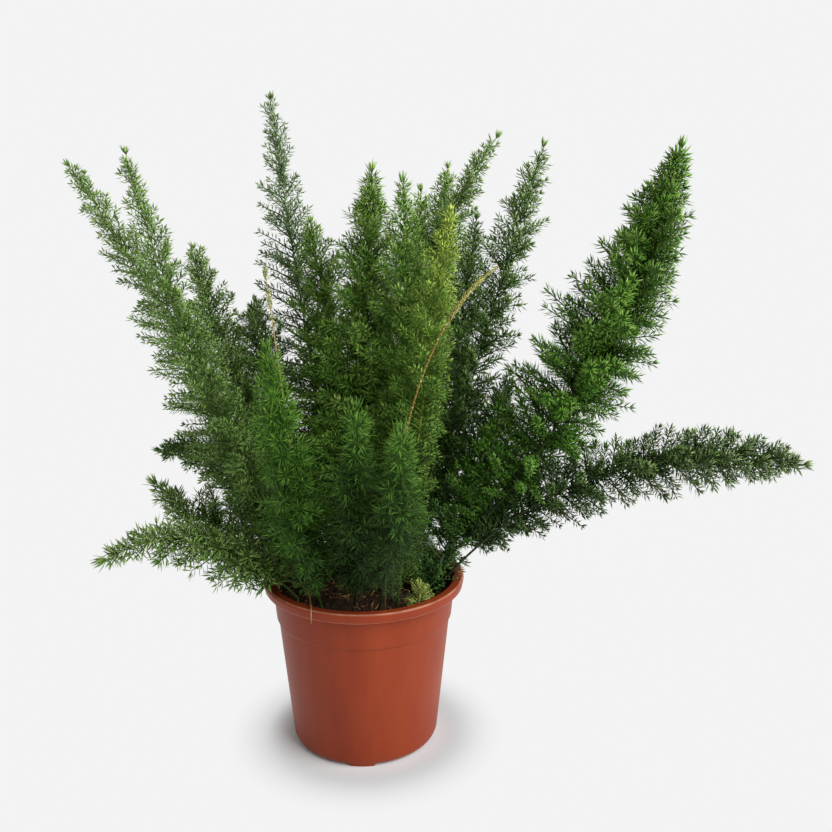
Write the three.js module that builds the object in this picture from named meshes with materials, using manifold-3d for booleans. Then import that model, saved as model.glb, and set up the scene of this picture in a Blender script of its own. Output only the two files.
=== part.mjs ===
// Foxtail fern (an asparagus fern) in a round plastic nursery pot.
// Millimetres, +Z up. The origin is the middle of the pot's underside, on the surface it stands on.
import * as THREE from "three";
import { mergeVertices } from "three/addons/utils/BufferGeometryUtils.js";
import Module from "manifold-3d";

const wasm = await Module();
wasm.setup();

// ---------------------------------------------------------------- driving dimensions

const POT = {
  height: 120,
  rimRadius: 70,
  baseRadius: 51.6,
  wall: 1.6,
  lipHeight: 6.6, // the lip at the top, turned down to leave a channel under it
  bandHeight: 28, // lip and collar together
  footHeight: 2.4,
  floor: 2, // thickness of the base plate
  sides: 36,
};
const COLLAR = { foot: 61.4, top: 63.8 }; // outer radii of the stretch below the lip
const WALL_TOP = 60.1; // outer radius of the wall, just below the collar
const FEET = { count: 4, width: 18, inset: 1.4, depth: 5 };
const DRAIN = { count: 6, radius: 4, circle: 33 };
const CENTRE_PAD_RADIUS = 20;

const SOIL = { belowRim: 11, roughness: 1.6, gap: 0.3, sides: 24 };
const HOLE = { radius: 2.3, depth: 12, sides: 4 };

const STEM = { tipRadius: 0.6, sides: 3, rise: 3 };
const NODE = { length: 2.2 }; // the short stretches of stem that side sprays grow from
const SPRAY = { radius: 0.75, lean: 0.6, whorl: 1.7, shortest: 1.5 }; // shortest: in needle lengths
const NEEDLE = { lift: 0.75, radius: 0.45 }; // lift: how far forward it leans for its reach outward
const CLEARANCE = 0.35; // least room between neighbours
const GOLDEN_ANGLE = Math.PI * (3 - Math.sqrt(5));

// Each plume: where it leaves the soil (x, y), the middle of its stem, its tip, how far its foliage
// stands out from the stem at the widest, and the share of the stem that is bare from the soil up. Taper is
// the power by which the foliage narrows to the tip, rise how much longer it is on the stem's upper side.
const PLUMES = {
  far_left: { root: [-38, 6], mid: [-129, 15, 289], tip: [-201, 40, 400],
    reach: 29, bare: 0.12, taper: 0.8 },
  upper_left: { root: [-40, -14], mid: [-109, -22, 289], tip: [-142, -20, 406],
    reach: 26, bare: 0.12, taper: 1.2, rise: -0.2 },
  short_left: { root: [-34, 26], mid: [-92, 50, 241], tip: [-122, 70, 347],
    reach: 30, bare: 0.12, taper: 1.2 },
  tallest: { root: [-14, 34], mid: [-45, 62, 291], tip: [-69, 90, 450],
    reach: 28, bare: 0.14, taper: 1.3, rise: -0.4 },
  behind_tallest: { root: [-8, 18], mid: [-23, 35, 251], tip: [-42, 50, 365],
    reach: 34, bare: 0.12, taper: 1.3 },
  centre_left: { root: [-6, 0], mid: [0, 5, 264], tip: [4, 10, 397], reach: 34, bare: 0.1, taper: 1.2 },
  centre_right: { root: [14, -12], mid: [27, -17, 266], tip: [28, -12, 391],
    reach: 31, bare: 0.1, taper: 1.8 },
  centre_back: { root: [16, 22], mid: [34, 45, 256], tip: [40, 70, 386], reach: 27, bare: 0.12 },
  high_back: { root: [22, 42], mid: [43, 80, 250], tip: [57, 120, 403], reach: 31, bare: 0.12, taper: 1.8 },
  upper_right: { root: [30, 8], mid: [46, 45, 300], tip: [97, 70, 421],
    reach: 26, bare: 0.14, taper: 0.9, rise: -0.1 },
  right_feathery: { root: [38, 26], mid: [89, 75, 281], tip: [133, 110, 419],
    reach: 31, bare: 0.14, taper: 0.9, rise: 0.2 },
  great_right: { root: [48, 8], mid: [142, -10, 245], tip: [200, -20, 411],
    reach: 42, bare: 0.2, taper: 1.7, rise: 0.25 },
  low_right: { root: [50, -10], mid: [156, -19, 194], tip: [289, -40, 209],
    reach: 34, bare: 0.16, taper: 2, rise: 0.25 },
  low_left: { root: [-44, -24], mid: [-103, -45, 160], tip: [-165, -60, 153],
    reach: 24, bare: 0.16, taper: 1.2, rise: 0.1 },
  left_stub: { root: [-50, 0], mid: [-105, 2, 154], tip: [-146, 0, 187],
    reach: 25, bare: 0.2, taper: 1.3, rise: 0.35 },
  left_shaded: { root: [-40, 32], mid: [-99, 56, 171], tip: [-161, 70, 193],
    reach: 29, bare: 0.2, taper: 0.7, rise: 0.1 },
  bright_centre: { root: [24, -32], mid: [41, -45, 260], tip: [55, -30, 371], reach: 23, bare: 0.1 },
  bright_front: { root: [-26, -40], mid: [-41, -76, 221], tip: [-50, -80, 297], reach: 25, bare: 0.1 },
  front_right: { root: [12, -44], mid: [28, -96, 196], tip: [31, -120, 258], reach: 25, bare: 0.1 },
  front_left: { root: [-4, -32], mid: [-4, -86, 202], tip: [-3, -110, 267], reach: 27, bare: 0.1 },
  right_shaded: { root: [42, -22], mid: [76, 22, 176], tip: [102, 50, 251],
    reach: 28, bare: 0.14, rise: 0.1 },
  back_centre: { root: [2, 46], mid: [9, 98, 220], tip: [12, 150, 322], reach: 29, bare: 0.14, rise: 0.1 },
  back_left: { root: [-14, 50], mid: [-24, 96, 192], tip: [-32, 142, 274],
    reach: 27, bare: 0.14, rise: 0.1 },
  back_right: { root: [26, 46], mid: [60, 98, 225], tip: [86, 140, 344],
    reach: 32, bare: 0.14, taper: 1.8, rise: 0.1 },
  behind_left: { root: [-28, 42], mid: [-67, 60, 208], tip: [-84, 80, 306],
    reach: 34, bare: 0.14, taper: 2 },
};
// Young shoots have no foliage yet, only buds towards the end of a thin stem.
const YOUNG_SHOOTS = {
  shoot_centre: { root: [16, -48], mid: [36, -82, 262], tip: [83, -70, 336] },
  shoot_left: { root: [-34, -34], mid: [-43, -58, 245], tip: [-49, -80, 336] },
};
// A seedling at the front of the pot.
const SPROUT = { root: [35, -39], mid: [36, -40, 122], tip: [37, -41, 132] };

const LEAFY = { pitch: 22, stem: 1.3, needle: 12, taper: 1.4, rise: 0 };
const YOUNG = { pitch: 22, stem: 1, needle: 5, reach: 0, bare: 0.66 };
const SEEDLING = { pitch: 5, stem: 1, needle: 6, reach: 11, bare: 0.2, taper: 1.4, rise: 0 };

// ---------------------------------------------------------------- helpers

const vec = (x, y, z) => new THREE.Vector3(x, y, z);
const middleOf = (points) => points.reduce((sum, p) => sum.add(p), vec(0, 0, 0)).divideScalar(points.length);

// The same numbers on every run, from 0 up to 1.
function seeded(seed) {
  let state = seed >>> 0;
  return () => {
    state = (Math.imul(state, 1664525) + 1013904223) >>> 0;
    return state / 4294967296;
  };
}

function geometryOf(points, faces) {
  return new THREE.BufferGeometry()
    .setAttribute("position", new THREE.Float32BufferAttribute(points.flatMap((p) => p.toArray()), 3))
    .setIndex(faces.flat());
}

function solidOf(geometry) {
  const bare = geometry.clone();
  bare.deleteAttribute("normal");
  bare.deleteAttribute("uv");
  const merged = mergeVertices(bare, 1e-4);
  const vertProperties = merged.attributes.position.array;
  const triVerts = new Uint32Array(merged.index.array);
  return new wasm.Manifold(new wasm.Mesh({ numProp: 3, vertProperties, triVerts }));
}

function geometryFrom(solid) {
  const mesh = solid.getMesh();
  return new THREE.BufferGeometry()
    .setAttribute("position", new THREE.BufferAttribute(mesh.vertProperties, 3))
    .setIndex(new THREE.BufferAttribute(mesh.triVerts, 1));
}

function meshOf(name, geometry, colour, roughness) {
  const material = new THREE.MeshStandardMaterial({ color: colour, roughness, metalness: 0 });
  const mesh = new THREE.Mesh(geometry, material);
  mesh.name = name;
  return mesh;
}

// The direction at an angle from a first direction towards a second one square to it.
function swing(first, second, angle) {
  return first.clone().multiplyScalar(Math.cos(angle)).addScaledVector(second, Math.sin(angle));
}

// Two directions square to an axis.
function squareTo(axis) {
  const side = Math.abs(axis.z) < 0.9 ? vec(0, 0, 1).cross(axis) : vec(1, 0, 0).cross(axis);
  side.normalize();
  return [side, axis.clone().cross(side)];
}

// A closed tapering rod through the points, pointed at the last one. Its faces come in order, 2 * sides to
// each stretch between two points.
function rod(points, radii, sides) {
  const vertices = [];
  const faces = [];
  let side = squareTo(points[1].clone().sub(points[0]).normalize())[0];
  const rings = points.length - 1;
  for (let i = 0; i < rings; i++) {
    const axis = points[i + 1].clone().sub(points[Math.max(i - 1, 0)]).normalize();
    side = side.addScaledVector(axis, -side.dot(axis)).normalize();
    const across = axis.clone().cross(side);
    for (let k = 0; k < sides; k++) {
      const outward = swing(side, across, (2 * Math.PI * k) / sides);
      vertices.push(points[i].clone().addScaledVector(outward, radii[i]));
    }
  }
  for (let ring = 0; ring < rings - 1; ring++) {
    for (let k = 0; k < sides; k++) {
      const [a, b] = [ring * sides + k, ring * sides + ((k + 1) % sides)];
      faces.push([a, b, b + sides], [a, b + sides, a + sides]);
    }
  }
  const end = vertices.push(points[rings].clone()) - 1;
  for (let k = 0; k < sides; k++) faces.push([end - sides + k, end - sides + ((k + 1) % sides), end]);
  for (let k = 1; k < sides - 1; k++) faces.push([0, k + 1, k]);
  return { vertices, faces };
}

// ---------------------------------------------------------------- pot

// The pot's outside and inside, from the underside's centre round to the floor's centre.
function potProfile() {
  const { height, rimRadius, baseRadius, wall, lipHeight, bandHeight, footHeight, floor } = POT;
  const lipFoot = height - lipHeight;
  const bandFoot = height - bandHeight;
  const outside = [
    [0, 0],
    [CENTRE_PAD_RADIUS, 0],
    [CENTRE_PAD_RADIUS + 2, footHeight],
    [baseRadius - 1.2, footHeight],
    [baseRadius, footHeight + 2.4],
    [WALL_TOP, bandFoot - 1],
    [COLLAR.foot, bandFoot],
    [COLLAR.top, height - 2],
    [rimRadius - 1.8, height - 2],
    [rimRadius - 2.6, lipFoot],
    [rimRadius - 1, lipFoot],
    [rimRadius, height - 1.2],
    [rimRadius - 0.6, height],
  ];
  const inside = [
    [COLLAR.top - 0.4, height],
    [COLLAR.top - wall, height - 1.6],
    [COLLAR.foot - wall, bandFoot + 0.4],
    [WALL_TOP - wall, bandFoot - 0.8],
    [baseRadius - wall - 0.4, footHeight + floor],
    [0, footHeight + floor],
  ];
  return outside.concat(inside).map(([r, z]) => new THREE.Vector2(r, z));
}

function lathe(profile) {
  return new THREE.LatheGeometry(profile, POT.sides).rotateX(Math.PI / 2);
}

// One foot: a short arc of a ring under the wall's lower edge.
function foot(turn) {
  const outer = POT.baseRadius - FEET.inset;
  const half = FEET.width / 2 / outer;
  const arc = new THREE.Shape();
  arc.absarc(0, 0, outer, turn - half, turn + half, false);
  arc.absarc(0, 0, outer - FEET.depth, turn + half, turn - half, true);
  const depth = POT.footHeight + 1;
  return solidOf(new THREE.ExtrudeGeometry(arc, { depth, bevelEnabled: false, curveSegments: 5 }));
}

function drainHole(turn) {
  const hole = new THREE.CylinderGeometry(DRAIN.radius, DRAIN.radius, 3 * (POT.footHeight + POT.floor), 8);
  return solidOf(
    hole.rotateX(Math.PI / 2).translate(DRAIN.circle * Math.cos(turn), DRAIN.circle * Math.sin(turn), 0),
  );
}

function pot() {
  let body = solidOf(lathe(potProfile()));
  const turn = (share) => 2 * Math.PI * share;
  for (let i = 0; i < FEET.count; i++) body = body.add(foot(turn(i / FEET.count - 0.25)));
  for (let i = 0; i < DRAIN.count; i++) body = body.subtract(drainHole(turn((i + 0.5) / DRAIN.count)));
  return body;
}

// ---------------------------------------------------------------- soil

// Height of the soil's surface: a low heap with small lumps.
function soilHeight(x, y) {
  const lumps = Math.sin(x / 6.5 + 1) * Math.cos(y / 7.5) + 0.6 * Math.sin((x + y) / 4.2);
  return POT.height - SOIL.belowRim + SOIL.roughness * (0.55 * lumps + 1 - (x * x + y * y) / 2200);
}

// The soil fills the pot: a lumpy top over a plug with the pot's own taper.
function soil(roots) {
  const { sides } = SOIL;
  const floor = POT.footHeight + POT.floor + SOIL.gap;
  const top = POT.height - SOIL.belowRim;
  const wallTop = WALL_TOP - POT.wall - 0.6;
  const baseEdge = POT.baseRadius - POT.wall - 0.9;
  const topEdge = COLLAR.foot - POT.wall + 0.6;
  const rings = [
    [baseEdge, floor],
    [wallTop, POT.height - POT.bandHeight - 1.6],
    [topEdge, top - 0.5],
  ];
  const inner = [0.75, 0.5, 0.25].map((share) => share * topEdge);
  const vertices = [vec(0, 0, floor)];
  const faces = [];
  const ringOf = (radius, z) => {
    const first = vertices.length;
    for (let k = 0; k < sides; k++) {
      const angle = (2 * Math.PI * k) / sides;
      const x = radius * Math.cos(angle);
      const y = radius * Math.sin(angle);
      vertices.push(vec(x, y, z ?? soilHeight(x, y)));
    }
    return first;
  };
  const starts = rings.map(([radius, z]) => ringOf(radius, z)).concat(inner.map((radius) => ringOf(radius)));
  for (let k = 0; k < sides; k++) {
    const next = (k + 1) % sides;
    faces.push([0, starts[0] + next, starts[0] + k]);
    for (let i = 0; i < starts.length - 1; i++) {
      const [low, high] = [starts[i], starts[i + 1]];
      faces.push([low + k, low + next, high + next], [low + k, high + next, high + k]);
    }
  }
  const middle = vertices.push(vec(0, 0, soilHeight(0, 0))) - 1;
  const last = starts[starts.length - 1];
  for (let k = 0; k < sides; k++) faces.push([last + k, last + ((k + 1) % sides), middle]);
  const holes = roots.map(([x, y]) => {
    const hole = new THREE.CylinderGeometry(HOLE.radius, HOLE.radius, 2 * HOLE.depth, HOLE.sides);
    return solidOf(hole.rotateX(Math.PI / 2).translate(x, y, soilHeight(x, y)));
  });
  return solidOf(geometryOf(vertices, faces)).subtract(wasm.Manifold.union(holes));
}

// ---------------------------------------------------------------- plumes

// A stem's route: straight up out of its hole, then a quadratic curve through the middle point at half way.
function routeOf({ root, mid, tip }) {
  const [x, y] = root;
  const ground = soilHeight(x, y);
  const start = vec(x, y, ground + STEM.rise);
  const end = vec(...tip);
  const pull = vec(...mid).multiplyScalar(2).addScaledVector(start, -0.5).addScaledVector(end, -0.5);
  const curve = new THREE.QuadraticBezierCurve3(start, pull, end);
  return { foot: vec(x, y, ground - HOLE.depth + SOIL.gap), curve };
}

// The stem's points from its foot to its tip, with two close together at each node.
function stemOf(shape) {
  const { foot, curve } = routeOf(shape);
  const length = curve.getLength();
  const count = Math.max(2, Math.round((length * (1 - shape.bare)) / shape.pitch));
  const nodes = [];
  const points = [foot, curve.getPointAt(0)];
  if (shape.bare > 0) points.push(curve.getPointAt(shape.bare / 2));
  for (let i = 0; i < count; i++) {
    const share = (i + 0.35) / (count - 0.35);
    const u = shape.bare + (1 - shape.bare) * Math.min(share, 1) * (1 - 7 / length);
    nodes.push({ share, stretch: points.length, centre: curve.getPointAt(u), axis: curve.getTangentAt(u) });
    for (const step of [-0.5, 0.5]) points.push(curve.getPointAt(u + (step * NODE.length) / length));
  }
  points.push(curve.getPointAt(1));
  const radii = points.map((_, i) => shape.stem + (STEM.tipRadius - shape.stem) * (i / (points.length - 1)));
  return { points, radii, nodes };
}

// How far the foliage stands out at a share of the leafy stretch: it swells quickly, then tapers to the tip.
function swell(share, taper) {
  return 0.6 + 0.4 * Math.min(1, share / 0.25) - 0.6 * Math.max(0, (share - 0.25) / 0.75) ** taper;
}

// A regular triangle square to the axis, turned to match three corners as well as it can.
function triangleLike(corners, centre, axis, radius) {
  const heart = middleOf(corners);
  const [u, v] = squareTo(axis);
  const third = (2 * Math.PI) / 3;
  const turns = corners.map((corner, k) => {
    const offset = corner.clone().sub(heart);
    return Math.atan2(offset.dot(v), offset.dot(u)) - k * third;
  });
  const sum = (part) => turns.reduce((total, turn) => total + part(turn), 0);
  const turn = Math.atan2(sum(Math.sin), sum(Math.cos));
  const corner = (angle) => centre.clone().addScaledVector(swing(u, v, turn + angle), radius);
  return [0, third, 2 * third].map(corner);
}

// Draws one face of a body out through small triangles to a point. The triangles keep to the given centres
// and radii. Returns the first face of the stretch that ends at each triangle.
function raise(body, face, centres, radii, apex) {
  const base = body.faces[face];
  const corners = base.map((corner) => body.vertices[corner]);
  const way = [middleOf(corners), ...centres, apex];
  let ring = base;
  const stretches = centres.map((centre, i) => {
    const axis = way[i + 2].clone().sub(way[i]).normalize();
    const copy = triangleLike(corners, centre, axis, radii[i]).map((p) => body.vertices.push(p) - 1);
    const first = body.faces.length;
    for (let k = 0; k < 3; k++) {
      const next = (k + 1) % 3;
      body.faces.push([ring[k], ring[next], copy[next]], [ring[k], copy[next], copy[k]]);
    }
    ring = copy;
    return first;
  });
  const end = body.vertices.push(apex) - 1;
  body.faces[face] = [ring[0], ring[1], end];
  body.faces.push([ring[1], ring[2], end], [ring[2], ring[0], end]);
  return stretches;
}

// Least distance between two segments.
function gapBetween(a, b, c, d) {
  const u = b.clone().sub(a);
  const v = d.clone().sub(c);
  const w = a.clone().sub(c);
  const [uu, uv, vv, uw, vw] = [u.dot(u), u.dot(v), v.dot(v), u.dot(w), v.dot(w)];
  const clamp = (x) => Math.min(1, Math.max(0, x));
  const spread = uu * vv - uv * uv;
  let s = spread > 1e-9 ? clamp((uv * vw - vv * uw) / spread) : 0;
  const t = clamp((uv * s + vw) / vv);
  s = clamp((uv * t - uw) / uu);
  return w.addScaledVector(u, s).addScaledVector(v, -t).length();
}

// True if a point is clear of the pot and the soil.
function clearOfPot(p) {
  const radius = Math.hypot(p.x, p.y);
  if (radius < POT.rimRadius - 11) return p.z > soilHeight(p.x, p.y) + 2;
  return radius > POT.rimRadius + 3 ? p.z > 8 : p.z > POT.height + 2;
}

const taken = []; // all stems, sprays and needles so far, each with the piece it belongs to

function take(piece, from, to, radius) {
  taken.push({ piece, from, to, radius, middle: middleOf([from, to]), half: from.distanceTo(to) / 2 });
}

// True if a straight piece would touch nothing, leaving out the piece it grows from.
function hasRoom(from, to, radius, parent) {
  const middle = middleOf([from, to]);
  const half = from.distanceTo(to) / 2;
  const free = (other) => {
    const least = radius + other.radius + CLEARANCE;
    if (other.piece === parent || middle.distanceTo(other.middle) > half + other.half + least) return true;
    return gapBetween(from, to, other.from, other.to) > least;
  };
  return clearOfPot(to) && taken.every(free);
}

// Raises a face into a needle if there is room for it.
function raiseNeedle(body, face, node, length, parent) {
  const heart = middleOf(body.faces[face].map((corner) => body.vertices[corner]));
  const outward = heart.clone().sub(node.centre);
  outward.addScaledVector(node.axis, -outward.dot(node.axis)).normalize();
  const apex = outward.addScaledVector(node.axis, NEEDLE.lift).setLength(length).add(heart);
  if (!hasRoom(heart, apex, NEEDLE.radius, parent)) return;
  raise(body, face, [], [], apex);
  take(parent, heart, apex, NEEDLE.radius);
}

// The middle line of a side spray: its start, both edges of its whorl and its end, sagging a little.
function sprayLine(start, direction, length, needle) {
  const shoulder = length - 0.9 * needle;
  const sag = (s) => vec(0, 0, -0.002 * s * s);
  return [0, shoulder - SPRAY.whorl, shoulder, length].map((s) =>
    start.clone().addScaledVector(direction, s).add(sag(s)),
  );
}

// Raises a face into a side spray: a thin rod with a whorl of needles near its end and a needle at the end.
function raiseSpray(body, face, [start, low, high, end], needle, piece) {
  const [, whorl] = raise(body, face, [low, high], [SPRAY.radius, SPRAY.radius], end);
  take(piece, start, high, SPRAY.radius);
  take(piece, high, end, SPRAY.radius);
  const node = { centre: middleOf([low, high]), axis: high.clone().sub(low).normalize() };
  for (let i = 0; i < 6; i++) raiseNeedle(body, whorl + i, node, needle, piece);
}

// The side sprays of a plume, two to a node, set round the stem by the golden angle. One that would touch a
// neighbour is turned about the stem, then shortened, and left out only if it finds no room. Returns the
// sides of the stem that stay free.
function growSprays(name, body, node, turn, { reach, needle, taper, rise }) {
  const lean = SPRAY.lean + 0.45 * node.share ** 2;
  const shortest = SPRAY.shortest * needle;
  const full = (reach * swell(node.share, taper)) / Math.cos(lean);
  const upper = vec(0, 0, 1).addScaledVector(node.axis, -node.axis.z).normalize();
  const [side, across] = squareTo(node.axis);
  const corners = (i) => body.faces[node.face + i].map((corner) => body.vertices[corner]);
  const free = [0, 2, 4];
  const attempt = (size, angle) => {
    const outward = swing(side, across, angle);
    const facing = (i) => new THREE.Triangle(...corners(i)).getNormal(vec(0, 0, 0)).dot(outward);
    const face = free.reduce((best, i) => (facing(i) > facing(best) ? i : best));
    const direction = swing(outward, node.axis, lean);
    const uneven = 1 + 1.2 * rise * (1 - node.share ** 2) * outward.dot(upper);
    const length = Math.max(full * size * uneven, shortest);
    const line = sprayLine(middleOf(corners(face)), direction, length, needle);
    const neck = line[0].clone().addScaledVector(direction, 3);
    const clear = (from, to) => hasRoom(from, to, SPRAY.radius, name);
    return facing(face) > 0.4 && clear(neck, line[2]) && clear(line[2], line[3]) ? { face, line } : null;
  };
  for (const half of [0, Math.PI]) {
    let found = null;
    for (const size of [1, 0.8, 0.64])
      for (const more of [0, 0.5, -0.5, 1, -1, 1.5, -1.5]) found ??= attempt(size, turn + half + more);
    if (!found) continue;
    free.splice(free.indexOf(found.face), 1);
    raiseSpray(body, node.face + found.face, found.line, needle, `${name} ${turn + half}`);
  }
  return free;
}

function plume(name, shape, { points, radii, nodes }) {
  const body = rod(points, radii, STEM.sides);
  const firstTurn = 2 * Math.PI * seeded(name.length * 7919 + name.charCodeAt(0))();
  nodes.forEach((node, i) => {
    node.face = node.stretch * 2 * STEM.sides;
    const last = i === nodes.length - 1;
    const sprayed = shape.reach > 0 && !last;
    const free = sprayed ? growSprays(name, body, node, firstTurn + i * GOLDEN_ANGLE, shape) : [0, 2, 4];
    for (const k of free) {
      raiseNeedle(body, node.face + k, node, shape.needle, name);
      if (shape.reach > 0) raiseNeedle(body, node.face + k + 1, node, shape.needle, name);
    }
  });
  return geometryOf(body.vertices, body.faces);
}

// ---------------------------------------------------------------- the plant in its pot

const plants = {};
for (const [name, shape] of Object.entries(PLUMES)) plants["plume_" + name] = { ...LEAFY, ...shape };
for (const [name, shape] of Object.entries(YOUNG_SHOOTS)) plants["young_" + name] = { ...YOUNG, ...shape };
plants.sprout = { ...SEEDLING, ...SPROUT };

const stems = {};
for (const [name, shape] of Object.entries(plants)) {
  stems[name] = stemOf(shape);
  const { points, radii } = stems[name];
  for (let i = 1; i < points.length; i++) take(name, points[i - 1], points[i], radii[i - 1]);
}

const root = new THREE.Group();
root.add(meshOf("pot", geometryFrom(pot()), "#9c4a2c", 0.5));
const roots = Object.values(plants).map((shape) => shape.root);
root.add(meshOf("potting_soil", geometryFrom(soil(roots)), "#2b211a", 0.95));

const colours = { plume_bright_centre: "#86a32c", plume_bright_front: "#5f9427", sprout: "#8fae3f" };
for (const [name, shape] of Object.entries(plants)) {
  const colour = colours[name] ?? (name.startsWith("young") ? "#93803c" : "#2f6b2a");
  root.add(meshOf(name, plume(name, shape, stems[name]), colour, 0.6));
}

export default root;
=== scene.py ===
import math

import bpy
import numpy as np
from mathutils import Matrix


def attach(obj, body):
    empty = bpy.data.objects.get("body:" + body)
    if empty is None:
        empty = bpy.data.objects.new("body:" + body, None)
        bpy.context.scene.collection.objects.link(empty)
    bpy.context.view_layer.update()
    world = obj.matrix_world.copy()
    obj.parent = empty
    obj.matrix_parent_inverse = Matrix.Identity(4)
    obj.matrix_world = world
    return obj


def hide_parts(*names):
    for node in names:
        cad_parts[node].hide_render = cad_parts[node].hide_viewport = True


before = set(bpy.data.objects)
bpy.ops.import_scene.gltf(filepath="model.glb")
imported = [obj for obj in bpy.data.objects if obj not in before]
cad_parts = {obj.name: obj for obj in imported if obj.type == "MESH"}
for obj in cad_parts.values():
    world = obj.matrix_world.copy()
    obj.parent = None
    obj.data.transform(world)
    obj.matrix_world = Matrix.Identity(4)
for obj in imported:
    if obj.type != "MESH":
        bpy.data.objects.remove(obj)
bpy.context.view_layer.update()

# A foxtail fern, which is an asparagus, in a round plastic nursery pot. Metres, +Z up. The origin is the
# middle of the pot's underside, on the surface it stands on. The tables of sizes are in millimetres.

# ---- Viewpoint ------------------------------------------------------------------------------------------
# A near product view from a little above the rim, a bit over half a metre in front of the pot.
# The lens is a short one, so the front of the pot looks larger than its back.
VIEW_PLACE = (0.0365, -0.600, 0.369)
VIEW_DOWN = math.radians(12.8)
PICTURE_WIDTH = 832
FOCAL_PIXELS = 911
SENSOR_WIDTH = 36.0
lens = bpy.data.cameras.new("viewpoint")
lens.sensor_width = SENSOR_WIDTH
lens.lens = SENSOR_WIDTH * FOCAL_PIXELS / PICTURE_WIDTH
viewpoint = bpy.data.objects.new("viewpoint", lens)
viewpoint.location = VIEW_PLACE
viewpoint.rotation_euler = (math.pi / 2 - VIEW_DOWN, 0, 0)
bpy.context.scene.collection.objects.link(viewpoint)
bpy.context.scene.camera = viewpoint

# ---- Pot ------------------------------------------------------------------------------------------------
# A thin-walled nursery pot, injection moulded in terracotta coloured polypropylene. It has a lip turned
# down round the mouth, a slightly wider collar below it, drain holes, and four low feet on the rim of
# its base.
MM = 0.001
POT_OUTSIDE = [  # radius, height and how far each corner is rounded
    (0, 0, 0), (20, 0, 0.5), (22, 2.4, 0.8), (44.9, 2.4, 0), (45.2, 2.4, 0), (49.8, 2.4, 0), (50.2, 2.4, 0),
    (50.5, 2.4, 0.3), (51.6, 4.8, 0.7), (60.1, 91, 0.8), (61.4, 92, 0.6), (63.75, 117.4, 0.9),
    (64.4, 118.3, 0.5), (68.0, 118.3, 0.6), (67.5, 113.6, 0.4), (69.0, 113.4, 0.5), (70, 118.8, 0.9),
    (69.2, 120, 0.7),
]
POT_INSIDE = [
    (63.4, 120, 1.6), (62.2, 118.2, 1.2), (59.8, 92.4, 0.6), (58.5, 91.2, 0.8), (49.6, 4.4, 1.2),
    (0, 4.4, 0),
]
POT_SEGMENTS = 192
FOOT_RINGS = (45.0, 50.0)
FOOT_HEIGHT = 2.4
FOOT_WIDTH = 18
FEET = 4
DRAIN_HOLES = 6
DRAIN_RADIUS = 4
DRAIN_CIRCLE = 33
PIN_SEGMENTS = 32
PIN_LOW = -1
PIN_HIGH = 8
SHARP_EDGE = math.radians(50)


def rounded(corners, steps=5):
    """The profile with each corner cut back by its third number, but by no more than 0.45 of either side,
    and bridged by a quadratic curve whose pull point is the corner."""
    corners = np.array(corners, float)
    points, cut = corners[:, :2], corners[:, 2]
    before = np.roll(points, 1, axis=0) - points
    after = np.roll(points, -1, axis=0) - points
    before_length = np.linalg.norm(before, axis=1)
    after_length = np.linalg.norm(after, axis=1)
    reach = np.minimum(cut, 0.45 * np.minimum(before_length, after_length))
    start = points + before * (reach / before_length)[:, None]
    end = points + after * (reach / after_length)[:, None]
    t = np.linspace(0, 1, steps)[None, :, None]
    arcs = (1 - t) ** 2 * start[:, None] + 2 * t * (1 - t) * points[:, None] + t**2 * end[:, None]
    return np.concatenate([points[i : i + 1] if reach[i] == 0 else arcs[i] for i in range(len(points))])


def put(name, vertices, faces, uv=None):
    """A smooth shaded object made of the given vertices and of one or more arrays of faces. uv holds a
    place in the piece's own colour chart for each vertex."""
    mesh = bpy.data.meshes.new(name)
    mesh.vertices.add(len(vertices))
    mesh.vertices.foreach_set("co", np.asarray(vertices, np.float32).ravel())
    corners = np.concatenate([f.ravel() for f in faces]).astype(np.int32)
    sizes = np.concatenate([np.full(len(f), f.shape[1]) for f in faces])
    mesh.loops.add(len(corners))
    mesh.loops.foreach_set("vertex_index", corners)
    mesh.polygons.add(len(sizes))
    mesh.polygons.foreach_set("loop_start", (np.cumsum(sizes) - sizes).astype(np.int32))
    mesh.update(calc_edges=True)
    if uv is not None:
        chart = mesh.uv_layers.new(name="OFBake")
        chart.data.foreach_set("uv", np.asarray(uv, np.float32)[corners].ravel())
    mesh.validate()
    mesh.shade_smooth()
    made = bpy.data.objects.new(name, mesh)
    bpy.context.scene.collection.objects.link(made)
    return made


def turned(profile, segments, shift=None):
    """A profile turned about the Z axis: the point at radius r, height z and angle a lies at
    (r cos a, r sin a, z). Its two ends lie on the axis and become single vertices. shift, a function of
    radius, angle and height, gives what is added to the height."""
    angle = 2 * math.pi * np.arange(segments) / segments
    radius, height = profile[1:-1, 0][:, None], profile[1:-1, 1][:, None]
    height = height + np.zeros_like(angle) + (0 if shift is None else shift(radius, angle, height))
    rings = np.stack([radius * np.cos(angle), radius * np.sin(angle), height], axis=2)
    poles = np.array([[0, 0, profile[0, 1]], [0, 0, profile[-1, 1]]])
    vertices = np.concatenate([rings.reshape(-1, 3), poles])
    row, column = np.meshgrid(np.arange(len(profile) - 3), np.arange(segments), indexing="ij")
    a, b = row * segments + column, row * segments + (column + 1) % segments
    quads = np.stack([a, b, b + segments, a + segments], axis=2).reshape(-1, 4)
    k = np.arange(segments)
    after = (k + 1) % segments
    last = (len(profile) - 3) * segments
    first_pole = np.stack([np.full(segments, len(vertices) - 2), after, k], axis=1)
    last_pole = np.stack([np.full(segments, len(vertices) - 1), last + k, last + after], axis=1)
    return vertices, [quads, first_pole, last_pole]


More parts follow.
